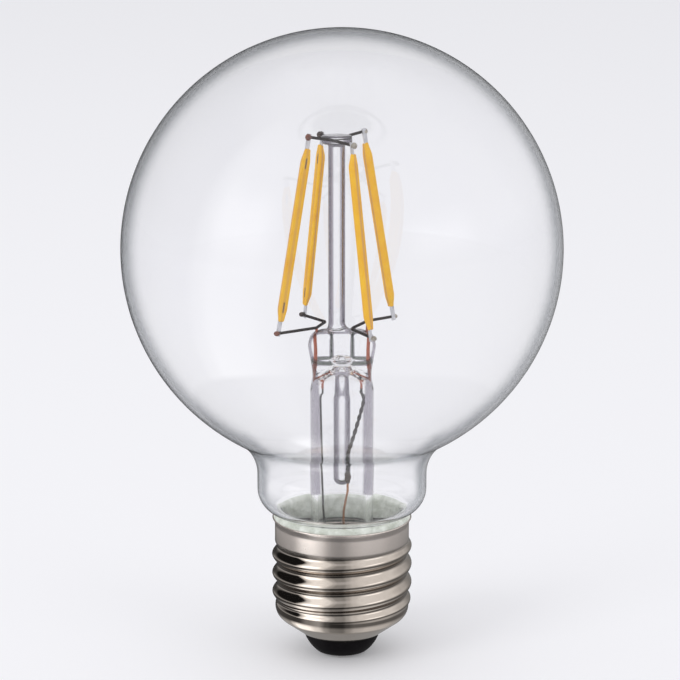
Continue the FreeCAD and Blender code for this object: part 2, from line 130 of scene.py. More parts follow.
def grid_faces(rows: int, columns: int, first: int, ends: Ends) -> list[list[int]]:
    """Faces of a grid whose columns wrap round.

    Args:
        rows: rows of the grid, poles included.
        columns: points in a full row.
        first: index of the grid's first vertex.
        ends: poles at both ends, or a last row that joins the first.

    Returns:
        Vertex indices of each face.
    """
    here = np.arange(columns)
    beside = (here + 1) % columns
    poles = ends is Ends.POLES
    before, full_rows = (1, rows - 2) if poles else (0, rows)
    row = np.arange(full_rows - before)[:, None]
    upper = row * columns + before
    lower = (row + 1) % full_rows * columns + before
    quads = np.stack([upper + here, lower + here, lower + beside, upper + beside], axis=2)
    faces = (quads.reshape(-1, 4) + first).tolist()
    if poles:
        last_row = before + (full_rows - 1) * columns
        head = np.stack([0 * here, here + 1, beside + 1], axis=1)
        foot = np.stack([last_row + beside, last_row + here, 0 * here + last_row + columns], axis=1)
        faces += (np.concatenate([head, foot]) + first).tolist()
    return faces


def flat_rows(grid: np.ndarray, ends: Ends) -> np.ndarray:
    """Grid entries in vertex order, with one entry for each pole.

    Args:
        grid: rows by columns of points or values.
        ends: how the rows close.

    Returns:
        One row for each vertex.
    """
    if ends is Ends.RING:
        return grid.reshape(-1, *grid.shape[2:])
    return np.concatenate([grid[0, :1], grid[1:-1].reshape(-1, *grid.shape[2:]), grid[-1, :1]])


def skin(name: str, grids: list[np.ndarray], ends: Ends,
         marks: dict[str, list[np.ndarray]] | None = None) -> Piece:
    """Smooth mesh object from closed grids in millimetres, with its faces turned outwards.

    Args:
        name: name of the piece.
        grids: grids whose columns run counter-clockwise while their outside rows run down.
        ends: how the rows of each grid close.
        marks: point attributes by name, with an array for each grid that spreads over its rows and columns.

    Returns:
        The new object, at the origin.
    """
    points, faces, first = [], [], 0
    for grid in grids:
        points.append(flat_rows(grid, ends))
        faces += grid_faces(*grid.shape[:2], first, ends)
        first += len(points[-1])
    mesh = bpy.data.meshes.new(name)
    mesh.from_pydata((np.concatenate(points) * MM).tolist(), [], faces)
    mesh.shade_smooth()
    for label, arrays in (marks or {}).items():
        full = [flat_rows(np.broadcast_to(values, grid.shape[:2]), ends)
                for values, grid in zip(arrays, grids)]
        layer = mesh.attributes.new(label, "FLOAT", "POINT")
        layer.data.foreach_set("value", np.concatenate(full).astype(np.float32))
    mesh.update()
    piece = bpy.data.objects.new(name, mesh)
    bpy.context.scene.collection.objects.link(piece)
    return piece


def smoothed(values: np.ndarray, steps: int) -> np.ndarray:
    """Cubic curve through rows of values, with slopes taken from their neighbours.

    Args:
        values: rows of values at evenly spaced knots.
        steps: number of rows wanted.

    Returns:
        Closely spaced rows.
    """
    slopes = np.gradient(values, axis=0)
    spots = np.linspace(0, len(values) - 1, steps)
    knot = np.clip(spots.astype(int), 0, len(values) - 2)
    t = (spots - knot)[:, None]
    start = (1 + 2 * t) * (1 - t) ** 2 * values[knot] + t * (1 - t) ** 2 * slopes[knot]
    return start + t * t * (3 - 2 * t) * values[knot + 1] + t * t * (t - 1) * slopes[knot + 1]


def unit(vector: np.ndarray) -> np.ndarray:
    """A vector, or each row of vectors, at length one."""
    return vector / np.linalg.norm(vector, axis=-1, keepdims=True)


def travel(line: np.ndarray) -> np.ndarray:
    """Distance of each point from the start of its line."""
    return np.concatenate([[0], np.cumsum(np.linalg.norm(np.diff(line, axis=0), axis=1))])


def sampled(line: np.ndarray, places: np.ndarray, spots: np.ndarray) -> np.ndarray:
    """Points at given spots along a line whose own points have given places."""
    return np.stack([np.interp(spots, places, line[:, k]) for k in range(3)], axis=1)


def round_end(gap: np.ndarray, radius: float) -> np.ndarray:
    """Share of the full thickness at a gap from a rounded end: a quarter circle of the radius, then one."""
    return np.sqrt(np.clip(1 - (1 - np.clip(gap / radius, 0, 1)) ** 2, 0, 1))


def rounded_route(points: np.ndarray, bend: float) -> np.ndarray:
    """Line through points with every corner rounded, for a wire.

    Args:
        points: corner points in millimetres.
        bend: bend radius.

    Returns:
        Closely spaced points along the wire.
    """
    bend_steps, spacing = 12, 0.25
    stretches = [points[:1]]
    for before, corner, after in zip(points, points[1:], points[2:]):
        inward, outward = unit(before - corner), unit(after - corner)
        half = math.acos(float(np.clip(inward @ outward, -1, 1))) / 2
        reach = bend / math.tan(half)
        middle = unit(inward + outward)
        centre = corner + middle * bend / math.sin(half)
        sideways = unit(np.cross(np.cross(inward, outward), middle))
        turn = np.linspace(half - math.pi / 2, math.pi / 2 - half, bend_steps)[:, None]
        sign = 1.0 if (corner + inward * reach - centre) @ sideways < 0 else -1.0
        stretches.append(centre - bend * (np.cos(turn) * middle - sign * np.sin(turn) * sideways))
    corners = np.concatenate(stretches + [points[-1:]])
    places = travel(corners)
    spots = np.unique(np.concatenate([places, np.arange(0, places[-1], spacing)]))
    return sampled(corners, places, spots)


def tube(route: np.ndarray, radius: np.ndarray, columns: int) -> np.ndarray:
    """Grid of a round tube: each route point plus r (cos u side + sin u lift), both square to the route.

    Args:
        route: points along the middle of the tube, in millimetres.
        radius: radius at each point, zero at both ends.
        columns: points round the tube.

    Returns:
        Grid of rows by columns by 3.
    """
    steepest_level = 0.7
    forward = unit(np.gradient(route, axis=0))
    level = np.abs(forward[:, 2]).max() < steepest_level
    side = unit(np.cross(forward, (0, 0, 1) if level else (0, 1, 0)))
    lift = np.cross(side, forward)
    turn = around(columns)[:, None]
    spokes = np.cos(turn) * side[:, None] + np.sin(turn) * lift[:, None]
    return route[:, None] + radius[:, None, None] * spokes


# Node trees
def feed(tree: Tree, inputs: bpy.types.NodeInputs, values: dict[str | int, object]) -> None:
    """Fill a node's inputs: a socket is linked, and any other value becomes the input's own.

    Args:
        tree: node tree.
        inputs: inputs of the node.
        values: sockets, numbers, vectors or colours, by input.
    """
    for key, value in values.items():
        if isinstance(value, Socket):
            tree.links.new(value, inputs[key])
        else:
            inputs[key].default_value = (*value, 1) if inputs[key].type == "RGBA" else value


def node(tree: Tree, kind: str, values: dict[str | int, object] | None = None,
         **settings: object) -> bpy.types.Node:
    """New node with its settings and inputs.

    Args:
        tree: node tree.
        kind: Blender's name of the node type.
        values: sockets or values of its inputs.
        settings: other properties of the node.

    Returns:
        The node.
    """
    made = tree.nodes.new(kind)
    for key, value in settings.items():
        setattr(made, key, value)
    feed(tree, made.inputs, values or {})
    return made


def sums(tree: Tree, operation: str, *terms: Socket | float, clamp: bool = False) -> Socket:
    """Result of one math operation on sockets and numbers."""
    values = dict(enumerate(terms))
    return node(tree, "ShaderNodeMath", values, operation=operation, use_clamp=clamp).outputs[0]


def blend(tree: Tree, share: Socket, first: Socket | Triple, second: Socket | Triple) -> Socket:
    """Colour that goes from a first to a second one with a share."""
    values = {"Factor": share, "A": first, "B": second}
    return node(tree, "ShaderNodeMix", values, data_type="RGBA").outputs["Result"]


def ramp(tree: Tree, value: Socket, start: Socket | float, end: Socket | float,
         to: Pair = (0.0, 1.0), kind: str = "SMOOTHSTEP") -> Socket:
    """Value between two others while a socket goes from a start to an end.

    Args:
        tree: node tree.
        value: the socket.
        start: where the ramp starts.
        end: where it ends.
        to: first and last result.
        kind: form of the ramp.

    Returns:
        The result.
    """
    values = {"Value": value, "From Min": start, "From Max": end, "To Min": to[0], "To Max": to[1]}
    return node(tree, "ShaderNodeMapRange", values, interpolation_type=kind).outputs["Result"]


def band(tree: Tree, value: Socket, low: float, high: float, soft: float) -> Socket:
    """Mask that is one while a value lies between two limits.

    Args:
        tree: node tree.
        value: the value.
        low: lower limit.
        high: upper limit.
        soft: width of the soft edges, inside the limits.

    Returns:
        The mask.
    """
    rise = ramp(tree, value, low, low + soft)
    fall = ramp(tree, value, high, high - soft)
    return sums(tree, "MULTIPLY", rise, fall)


def attribute(tree: Tree, name: str) -> Socket:
    """Value of a piece's own attribute."""
    return node(tree, "ShaderNodeAttribute", attribute_name=name).outputs["Fac"]


def new_group(name: str, inputs: dict[str, str],
              output: str) -> tuple[Tree, bpy.types.NodeOutputs, Socket]:
    """New node group with one number as its output.

    Args:
        name: name of the group.
        inputs: kind of each input.
        output: name of the output.

    Returns:
        The group, the sockets of its inputs and the socket of its output.
    """
    group = bpy.data.node_groups.new(name, "ShaderNodeTree")
    for label, kind in inputs.items():
        group.interface.new_socket(label, in_out="INPUT", socket_type="NodeSocket" + kind)
    group.interface.new_socket(output, in_out="OUTPUT", socket_type="NodeSocketFloat")
    entry, leave = node(group, "NodeGroupInput"), node(group, "NodeGroupOutput")
    return group, entry.outputs, leave.inputs[output]


@cache
def mottle_group() -> Tree:
    """Shared node group that gives an uneven mask from two sizes of noise on a vector.

    Returns:
        The group, with inputs Vector, Scale and Contrast and output Mask.
    """
    finer, share = 6.3, 0.35
    kinds = {"Vector": "Vector", "Scale": "Float", "Contrast": "Float"}
    group, entry, leave = new_group("mottle", kinds, "Mask")
    broad = node(group, "ShaderNodeTexNoise", {
        "Vector": entry["Vector"], "Scale": entry["Scale"], "Detail": 3.0, "Roughness": 0.55})
    small = node(group, "ShaderNodeTexNoise", {
        "Vector": entry["Vector"], "Scale": sums(group, "MULTIPLY", entry["Scale"], finer),
        "Detail": 2.0, "Roughness": 0.6})
    both = sums(group, "MULTIPLY_ADD", small.outputs["Fac"], share, broad.outputs["Fac"])
    centred = sums(group, "SUBTRACT", both, (1 + share) / 2)
    group.links.new(sums(group, "MULTIPLY_ADD", centred, entry["Contrast"], 0.5, clamp=True), leave)
    return group


@dataclass(frozen=True)
class Finish:
    """Surface with a main colour that drifts to a second one, and with uneven roughness and bump."""

    name: str
    colour: Triple
    second: Triple
    roughness: Pair
    scale: float
    contrast: float = 2.0
    bump: float = 0.0
    metallic: float = 0.0
    specular: float = 0.5

    def make(self) -> Material:
        """New material with its coordinates, uneven mask and paint.

        Returns:
            The material.
        """
        material = bpy.data.materials.new(self.name)
        material.use_nodes = True
        tree = material.node_tree
        inputs = tree.nodes["Principled BSDF"].inputs
        feed(tree, inputs, {"Metallic": self.metallic, "Specular IOR Level": self.specular})
        spot = node(tree, "ShaderNodeTexCoord").outputs["Object"]
        uneven = node(tree, "ShaderNodeGroup", {
            "Vector": spot, "Scale": self.scale, "Contrast": self.contrast}, node_tree=mottle_group())
        self.paint(tree, inputs, uneven.outputs["Mask"])
        return material

    def colours(self, tree: Tree, mask: Socket) -> Socket:
        """Colour that goes from the main one to the second with a mask."""
        return blend(tree, mask, self.colour, self.second)

    def rough(self, tree: Tree, mask: Socket) -> Socket:
        """Roughness that goes from the lower limit to the upper one with a mask."""
        return ramp(tree, mask, 0.0, 1.0, self.roughness, "LINEAR")

    def relief(self, tree: Tree, mask: Socket) -> Socket:
        """Normal with a bump from a mask."""
        values = {"Strength": 1.0, "Distance": self.bump * MM, "Height": mask}
        return node(tree, "ShaderNodeBump", values).outputs["Normal"]

    def paint(self, tree: Tree, inputs: bpy.types.NodeInputs, mask: Socket) -> None:
        """Fill the shader's inputs.

        Args:
            tree: the material's tree.
            inputs: inputs of its Principled shader.
            mask: uneven value between 0 and 1.
        """
        feed(tree, inputs, {"Base Color": self.colours(tree, mask), "Roughness": self.rough(tree, mask)})
        if self.bump:
            feed(tree, inputs, {"Normal": self.relief(tree, mask)})


@dataclass(frozen=True)
class Glass(Finish):
    """Clear glass with a faint drift of colour, and painted shade where it is seen on edge, which stands in
    for the dark surroundings seen through its edges.

    The piece's own rim attribute says from which facing value on the painted shade begins. Below zero it
    marks a crease, with painted crease shade in a colour of its own.
    """

    # Colours of painted shade: the first where the glass is seen on edge, the second in creases
    edge: Triple = (0.7, 0.7, 0.75)
    edge_width: float = 0.2
    crease_shade_colour: Triple = (0.7, 0.7, 0.75)
    crease_shade_rim: float = -0.25
    index: float = 1.5

    def paint(self, tree: Tree, inputs: bpy.types.NodeInputs, mask: Socket) -> None:
        """Fill the shader's inputs.

        Args:
            tree: the material's tree.
            inputs: inputs of its Principled shader.
            mask: uneven value between 0 and 1.
        """
        rim = attribute(tree, "rim")
        facing = node(tree, "ShaderNodeLayerWeight", {"Blend": 0.5}).outputs["Facing"]
        # Painted shade: the base colour goes dark where the surface is seen on edge, with its own colour in
        # creases
        on_edge = ramp(tree, facing, rim, sums(tree, "ADD", rim, self.edge_width))
        edge_and_crease_shade = blend(tree, ramp(tree, rim, 0.0, self.crease_shade_rim, kind="LINEAR"), self.edge, self.crease_shade_colour)
        feed(tree, inputs, {
            "Base Color": blend(tree, on_edge, self.colours(tree, mask), edge_and_crease_shade),
            "Roughness": self.roughness[0], "IOR": self.index, "Transmission Weight": 1.0})


@dataclass(frozen=True)
class Phosphor(Finish):
    """Yellow silicone coat with a dark mark near each end. The carrier shows through its flat back, and its
    colour on the dome's flanks is both the carrier seen through and painted shade.

    Each band has a lower limit, an upper limit and a soft edge, on the coat's own along or across attribute.
    """

    # Carrier colour, which also serves as painted shade on the dome's flanks
    carrier_and_shade: Triple = (0.55, 0.27, 0.09)
    mark: Triple = (0.16, 0.1, 0.05)
    back_band: Triple = (-0.4, 0.4, 0.12)
    flank_shade_band: Triple = (1.15, 1.55, 0.12)
    mark_band: Triple = (-0.2, 0.2, 0.05)
    end_band: Triple = (0.05, 0.12, 0.01)
    back_share: float = 0.4
    flank_shade_gain: float = 1.9

    def colours(self, tree: Tree, mask: Socket) -> Socket:
        """Colour of the coat with its carrier and marks.

        Args:
            tree: the material's tree.
            mask: uneven value between 0 and 1.

        Returns:
            The colour.
        """
        across = attribute(tree, "across")
        from_end = sums(tree, "PINGPONG", attribute(tree, "along"), 0.5)
        # The dome's flanks take the carrier colour as painted shade as well as the carrier seen through
        back, sides = band(tree, across, *self.back_band), band(tree, across, *self.flank_shade_band)
        shown = sums(tree, "MULTIPLY_ADD", sides, self.flank_shade_gain, back)
        faint = sums(tree, "MULTIPLY", shown, self.back_share)
        through = blend(tree, faint, super().colours(tree, mask), self.carrier_and_shade)
        middle, ends = band(tree, across, *self.mark_band), band(tree, from_end, *self.end_band)
        return blend(tree, sums(tree, "MULTIPLY", middle, ends), through, self.mark)


@dataclass(frozen=True)
class Plate(Finish):
    """Nickel plate, satin above a height and polished below it."""

    satin_above: float = 22.0
    satin_edge: float = 0.6
    satin: float = 0.2
    pale: Triple = (0.81, 0.735, 0.685)
    matt: float = 0.16

    def paint(self, tree: Tree, inputs: bpy.types.NodeInputs, mask: Socket) -> None:
        """Fill the shader's inputs.

        Args:
            tree: the material's tree.
            inputs: inputs of its Principled shader.
            mask: uneven value between 0 and 1.
        """
        spot = node(tree, "ShaderNodeTexCoord").outputs["Object"]
        height = node(tree, "ShaderNodeSeparateXYZ", {"Vector": spot}).outputs["Z"]
        low, high = self.satin_above - self.satin_edge, self.satin_above + self.satin_edge
        above = ramp(tree, height, low * MM, high * MM)
        feed(tree, inputs, {
            "Base Color": blend(tree, above, self.colours(tree, mask), self.pale),
            "Roughness": sums(tree, "MULTIPLY_ADD", above, self.satin, self.rough(tree, mask)),
            "Metallic": sums(tree, "MULTIPLY_ADD", above, -self.matt, self.metallic),
            "Normal": self.relief(tree, mask)})


def dress(piece: Piece, material: Material) -> Piece:
    """Give a piece its only material.

    Args:
        piece: mesh object.
        material: finished material.

    Returns:
        The piece.
    """
    piece.data.materials.clear()
    piece.data.materials.append(material)
    return piece


def let_light_in(piece: Piece) -> Piece:
    """Let the lamps and the world light what stands behind clear glass as if the glass were open.

    Args:
        piece: glass piece.

    Returns:
        The piece.
    """
    piece.visible_shadow = False
    piece.visible_diffuse = False
    return piece


def place(piece: Piece, slot: str, *nodes: str) -> Piece:
    """Let a piece ride on the lamp in place of CAD nodes, and log it.

    Args:
        piece: mesh object.
        slot: material slot of the record; not used.
        nodes: CAD nodes that it stands for.

    Returns:
        The piece.
    """
    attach(piece, "root")
    if nodes:
        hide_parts(*nodes)
    LOG.info("%s: %d faces, for %s", piece.name, len(piece.data.polygons), ", ".join(nodes) or "no node")
    return piece


# The lamp
@dataclass
class Globe:
    """Blown globe with its neck and throat."""

    radius: float = 40.0
    wall: float = 0.8
    neck_radius: float = 15.7
    neck_fillet: float = 8.0
    fillet_height: float = 34.76
    shoulder_radius: float = 4.6
    shoulder_height: float = 32.0
    throat_radius: float = 11.65
    throat_fillet: float = 1.0
    throat_bottom: float = 20.52
    cement_gap: float = 0.03
    # Facing values from which the glass gets painted edge shade: none below clear_below, where the value is
    # out of reach, and more on the neck than on the globe
    globe_rim: float = 0.62
    neck_rim: float = 0.48
    clear_rim: float = 2.0
    clear_below: float = 27.0
    shade_above: float = 28.5
    columns: int = 192

    @property
    def height(self) -> float:
        """Height of the globe's centre."""
        across = self.neck_radius + self.neck_fillet
        return self.fillet_height + math.sqrt((self.radius + self.neck_fillet) ** 2 - across ** 2)

    def outline(self, inset: float) -> np.ndarray:
        """Outline from the crown down to the throat: circle arcs that run into each other, set in evenly.

        Args:
            inset: distance inside the outer surface.

        Returns:
            (radius, height) rows.
        """
        across = self.neck_radius + self.neck_fillet
        waist = math.degrees(math.atan2(self.fillet_height - self.height, across))
        inner = self.neck_radius - self.shoulder_radius
        run = self.throat_radius + self.throat_fillet - inner
        fall = math.sqrt((self.shoulder_radius + self.throat_fillet) ** 2 - run ** 2)
        tuck = math.degrees(math.atan2(-fall, run))
        throat = (self.throat_radius + self.throat_fillet, self.shoulder_height - fall)
        edge = self.throat_radius - inset
        return joined(
            arc((0, self.height), self.radius - inset, 90, waist, 130),
            arc((across, self.fillet_height), self.neck_fillet + inset, 180 + waist, 180, 26),
            arc((inner, self.shoulder_height), self.shoulder_radius - inset, 0, tuck, 26),
            arc(throat, self.throat_fillet + inset, 180 + tuck, 180, 12),
            straight((edge, throat[1]), (edge, self.throat_bottom), 8),
        )

    def build(self, finish: Finish) -> Piece:
        """The globe's outer and inner surfaces as one closed skin.

        Args:
            finish: glass.

        Returns:
            The piece.
        """
        line = joined(self.outline(self.cement_gap), self.outline(self.wall)[::-1])
        line[[0, -1], 0] = 0
        # Rim value by height, which sets where the glass gets painted edge shade
        rim = np.interp(
            line[:, 1:],
            (self.clear_below, self.shade_above, self.fillet_height, self.fillet_height + self.neck_fillet),
            (self.clear_rim, self.neck_rim, self.neck_rim, self.globe_rim))
        piece = skin("clear_globe", [turned(line, self.columns)], Ends.POLES, {"rim": [rim]})
        return place(dress(let_light_in(piece), finish.make()), "globe_glass", "glass_globe")


@dataclass
class Mount:
    """Glass mount fused into one body: button, rod, press, stem tube, flare and exhaust tube.

    Its sections are rows of centre offset, half width, half thickness, squareness, height and rim value.
    """

    offset: float = -0.95
    button_radius: float = 2.8
    button_top: float = 97.4
    button_bottom: float = 95.8
    button_rounding: float = 0.5
    rod_radius: float = 1.53
    rod_root: float = 1.4
    root_powers: tuple[float, ...] = (1.5, 1.7, 1.2, 1.0, 1.0, 1.0)
    root_fall: int = 3
    press_start: float = 50.6
    press_length: float = 11.1
    half_width: float = 6.2
    half_thickness: float = 3.0
    stem_radius: float = 5.85
    stem_wall: float = 1.3
    flare_bend: float = 5.0
    lip_radius: float = 11.62
    lip_top: float = 20.48
    lip_rounding: float = 0.2
    bore_dome: float = 4.4
    exhaust_radius: float = 1.55
    exhaust_bore: float = 0.75
    exhaust_tip: float = 33.0
    exhaust_root: float = 0.9
    exhaust_drop: float = 1.6
    exhaust_ends: Pair = (1.8, 2.2)
    channel_drop: float = 1.1
    blown_size: Triple = (1.6, 1.4, 1.0)
    blown_place: Triple = (0.0, -1.2, 1.5)
    jaw_shares: tuple[float, ...] = (0.4, 0.55, 0.88, 0.99)
    jaw_least: float = 0.6
    pinch_place: float = 1.9
    pinch_width: float = 0.4
    pinch_depth: float = 0.14
    crease_height: float = 56.1
    crease_half: float = 0.42
    crease_gap: float = 1.9
    upright_low: float = 57.0
    upright_high: float = 61.4
    upright_half: float = 0.3
    # Painted shade: the creases lower the rim value by this much, and each rim value below is the facing
    # value from which that part gets painted edge shade; bore_rim is out of reach, so the bores get none
    crease_shading: float = 0.7
    rod_rim: float = 0.05
    press_rim: float = 0.24
    tube_rim: float = 0.24
    bore_rim: float = 2.0
    clear_below: float = 29.0
    shade_above: float = 32.0
    root_rows: int = 30
    press_rows: int = 70
    void_columns: int = 48
    columns: int = 200

    @property
    def press_top(self) -> float:
        """Height of the press's top."""
        return self.press_start + self.press_length

    @property
    def roof(self) -> float:
        """Height of the top of the stem's bore."""
        return self.press_start + self.bore_dome

    def press_knots(self) -> np.ndarray:
        """Sections of the press from its top down to the tube, by the shares of the CAD source.

        Returns:
            Rows of sections.
        """
        height, width, depth, power = np.array([
            (1.0, 0.65, 0.57, 2.5),
            (0.955, 0.84, 0.8, 2.8),
            (0.865, 0.96, 0.95, 3.0),
            (0.72, 1.0, 1.0, 3.0),
            (0.49, 0.93, 1.07, 2.8),
            (0.25, 0.88, 1.43, 2.2),
            (0.0, self.stem_radius / self.half_width, self.stem_radius / self.half_thickness, 2.0),
        ]).T
        return np.stack([
            0 * height, self.half_width * width, self.half_thickness * depth, power,
            self.press_start + self.press_length * height, 0 * height + self.press_rim], axis=1)

    def round_sections(self, line: np.ndarray, offset: float, rim: np.ndarray | float) -> np.ndarray:
        """Sections of a round piece from its (radius, height) rows, with a centre offset and rim values."""
        radius, height = line.T
        return np.stack(np.broadcast_arrays(offset, radius, radius, 2.0, height, rim), axis=1)

    def sections(self) -> np.ndarray:
        """Sections down the outside, round the flare's lip, up the bore and down the exhaust tube.

        Returns:
            Rows of sections.
        """
        bend, rod = self.button_rounding, self.rod_radius
        edge = self.button_radius - bend
        line = joined(
            straight((0, self.button_top), (edge, self.button_top), 8),
            arc((edge, self.button_top - bend), bend, 90, 0, 10),
            arc((edge, self.button_bottom + bend), bend, 0, -90, 10),
            arc((rod + bend, self.button_bottom - bend), bend, 90, 180, 8),
            straight((rod, self.button_bottom - bend), (rod, self.press_top + self.rod_root), 60),
        )
        upper = self.round_sections(line, self.offset, self.rod_rim)
        press = self.press_knots()
        ease = np.linspace(0, 1, self.root_rows)[1:-1, None]
        root = upper[-1] + (press[0] - upper[-1]) * ease ** np.array(self.root_powers)
        root[:, 4:5] = self.press_top + self.rod_root * (1 - ease) ** self.root_fall
        return np.concatenate([upper, root, smoothed(press, self.press_rows)[:-1], self.tube_sections()])

    def tube_sections(self) -> np.ndarray:
        """Sections of the tube, flare, lip, bore and exhaust tube.

        Returns:
            Rows of sections.
        """
        flare = (self.stem_radius + self.flare_bend, self.lip_top + self.flare_bend)
        bore, turn = self.stem_radius - self.stem_wall, self.lip_rounding
        dome = (bore ** 2 + self.bore_dome ** 2) / (2 * self.bore_dome)
        tuck = math.degrees(math.atan2(dome - self.bore_dome, bore))
        pipe, lip = self.exhaust_radius, self.lip_radius - turn
        reach = pipe + self.exhaust_root
        lean = math.degrees(math.acos(reach / dome))
        outside = joined(
            straight((self.stem_radius, self.press_start), (self.stem_radius, flare[1]), 40),
            arc(flare, self.flare_bend, 180, 270, 24),
            straight((flare[0], self.lip_top), (lip, self.lip_top), 3),
            arc((lip, self.lip_top - turn), turn, 90, 0, 5),
        )
        inside = joined(
            arc((lip, self.lip_top - self.stem_wall + turn), turn, 0, -90, 5),
            arc(flare, self.flare_bend + self.stem_wall, 270, 180, 24),
            straight((bore, flare[1]), (bore, self.press_start), 40),
            arc((0, self.roof - dome), dome, tuck, lean, 12),
        )
        start, end = self.roof - self.exhaust_ends[0], self.exhaust_tip + self.exhaust_ends[1]
        exhaust = joined(
            arc((reach, self.roof - self.exhaust_drop), self.exhaust_root, 90, 180, 8),
            straight((pipe, start), (pipe, end), 30),
            arc((0, self.exhaust_tip + pipe), pipe, 0, -90, 14),
        )
        exhaust[-1, 0] = 0
        line = np.concatenate([outside, inside, exhaust])
        stretches = [len(outside), len(inside), len(exhaust)]
        # Rim values for painted edge shade, with none low in the tube, below clear_below
        rim = np.repeat([self.tube_rim, self.bore_rim, self.rod_rim], stretches)
        fade = np.interp(line[:, 1], (self.clear_below, self.shade_above), (self.bore_rim, 0))
        return self.round_sections(line, 0.0, np.maximum(rim, fade))

    def grid(self, sections: np.ndarray) -> np.ndarray:
        """Grid of superellipse sections: x = c + a |cos u|^(2/n), y = b |sin u|^(2/n), with their signs.

        The jaws left two upright grooves in each face of the press: there y is drawn in by a bell curve of x.

        Args:
            sections: rows that begin with c, a, b, n and the height.

        Returns:
            Grid of rows by columns by 3, in millimetres.
        """
        turn = around(self.columns)
        centre, wide, deep, power, height = (sections[:, k:k + 1] for k in range(5))
        across = np.sign(np.cos(turn)) * np.abs(np.cos(turn)) ** (2 / power)
        back = np.sign(np.sin(turn)) * np.abs(np.sin(turn)) ** (2 / power)
        flat = self.press_start + self.press_length * np.array(self.jaw_shares)
        jaws = np.interp(height, flat, (0, 1, 1, 0)) * (wide > self.stem_radius * self.jaw_least)
        bells = np.exp(-((np.abs(wide * across) - self.pinch_place) / self.pinch_width) ** 2)
        back = deep * back * (1 - self.pinch_depth * jaws * bells)
        return np.stack([centre + wide * across, back, height + 0 * turn], axis=2)

    def creases(self, grid: np.ndarray, rim: np.ndarray) -> np.ndarray:
        """Rim values over a grid, lowered by bell curves along the creases that the jaws left in the press,
        which paints shade along them.

        A level crease runs round the foot of the press and stops beside the blown hole. An upright one runs
        along each groove.

        Args:
            grid: points of the mount.
            rim: rim value of each row.

        Returns:
            Rim value of each point.
        """
        aside, height = np.abs(grid[:, :, 0]), grid[:, :, 2]
        level = np.exp(-((height - self.crease_height) / self.crease_half) ** 2) * (aside > self.crease_gap)
        upright = np.exp(-((aside - self.pinch_place) / self.upright_half) ** 2)
        upright = upright * (height > self.upright_low) * (height < self.upright_high)
        return rim - self.crease_shading * np.maximum(level, upright)

    def voids(self) -> list[np.ndarray]:
        """Hollows in the glass: the exhaust tube's bore and the blown hole, with their outside inwards.

        Returns:
            Grids of the two hollows.
        """
        bore, columns = self.exhaust_bore, self.void_columns
        low, high = self.exhaust_tip + self.exhaust_radius, self.roof - self.channel_drop
        channel = joined(
            arc((0, low), bore, -90, 0, 10),
            straight((bore, low), (bore, high), 24),
            arc((0, high), bore, 0, 90, 10),
        )
        lens = arc((0, 0), 1.0, -90, 90, 24)
        for line in (channel, lens):
            line[[0, -1], 0] = 0
        middle = np.array(self.blown_place) + (0, 0, self.roof)
        return [turned(channel, columns), turned(lens, columns) * self.blown_size + middle]

    def build(self, finish: Finish) -> Piece:
        """The fused glass mount.

        Args:
            finish: glass.

        Returns:
            The piece.
        """
        sections, voids = self.sections(), self.voids()
        outer = self.grid(sections)
        rims = [self.creases(outer, sections[:, 5:6])] + [np.full((1, 1), self.bore_rim) for _ in voids]
        piece = skin("glass_mount", [outer, *voids], Ends.POLES, {"rim": rims})
        nodes = ("stem", "exhaust_tube", "support_rod", "support_button")
        return place(dress(let_light_in(piece), finish.make()), "stem_glass", *nodes)


def by_corner(front_left: float, front_right: float, rear_left: float,
              rear_right: float) -> dict[Corner, float]:
    """Field default with a number for each corner of the cage."""
    return field(default_factory=lambda: dict(zip(Corner, (front_left, front_right, rear_left, rear_right))))


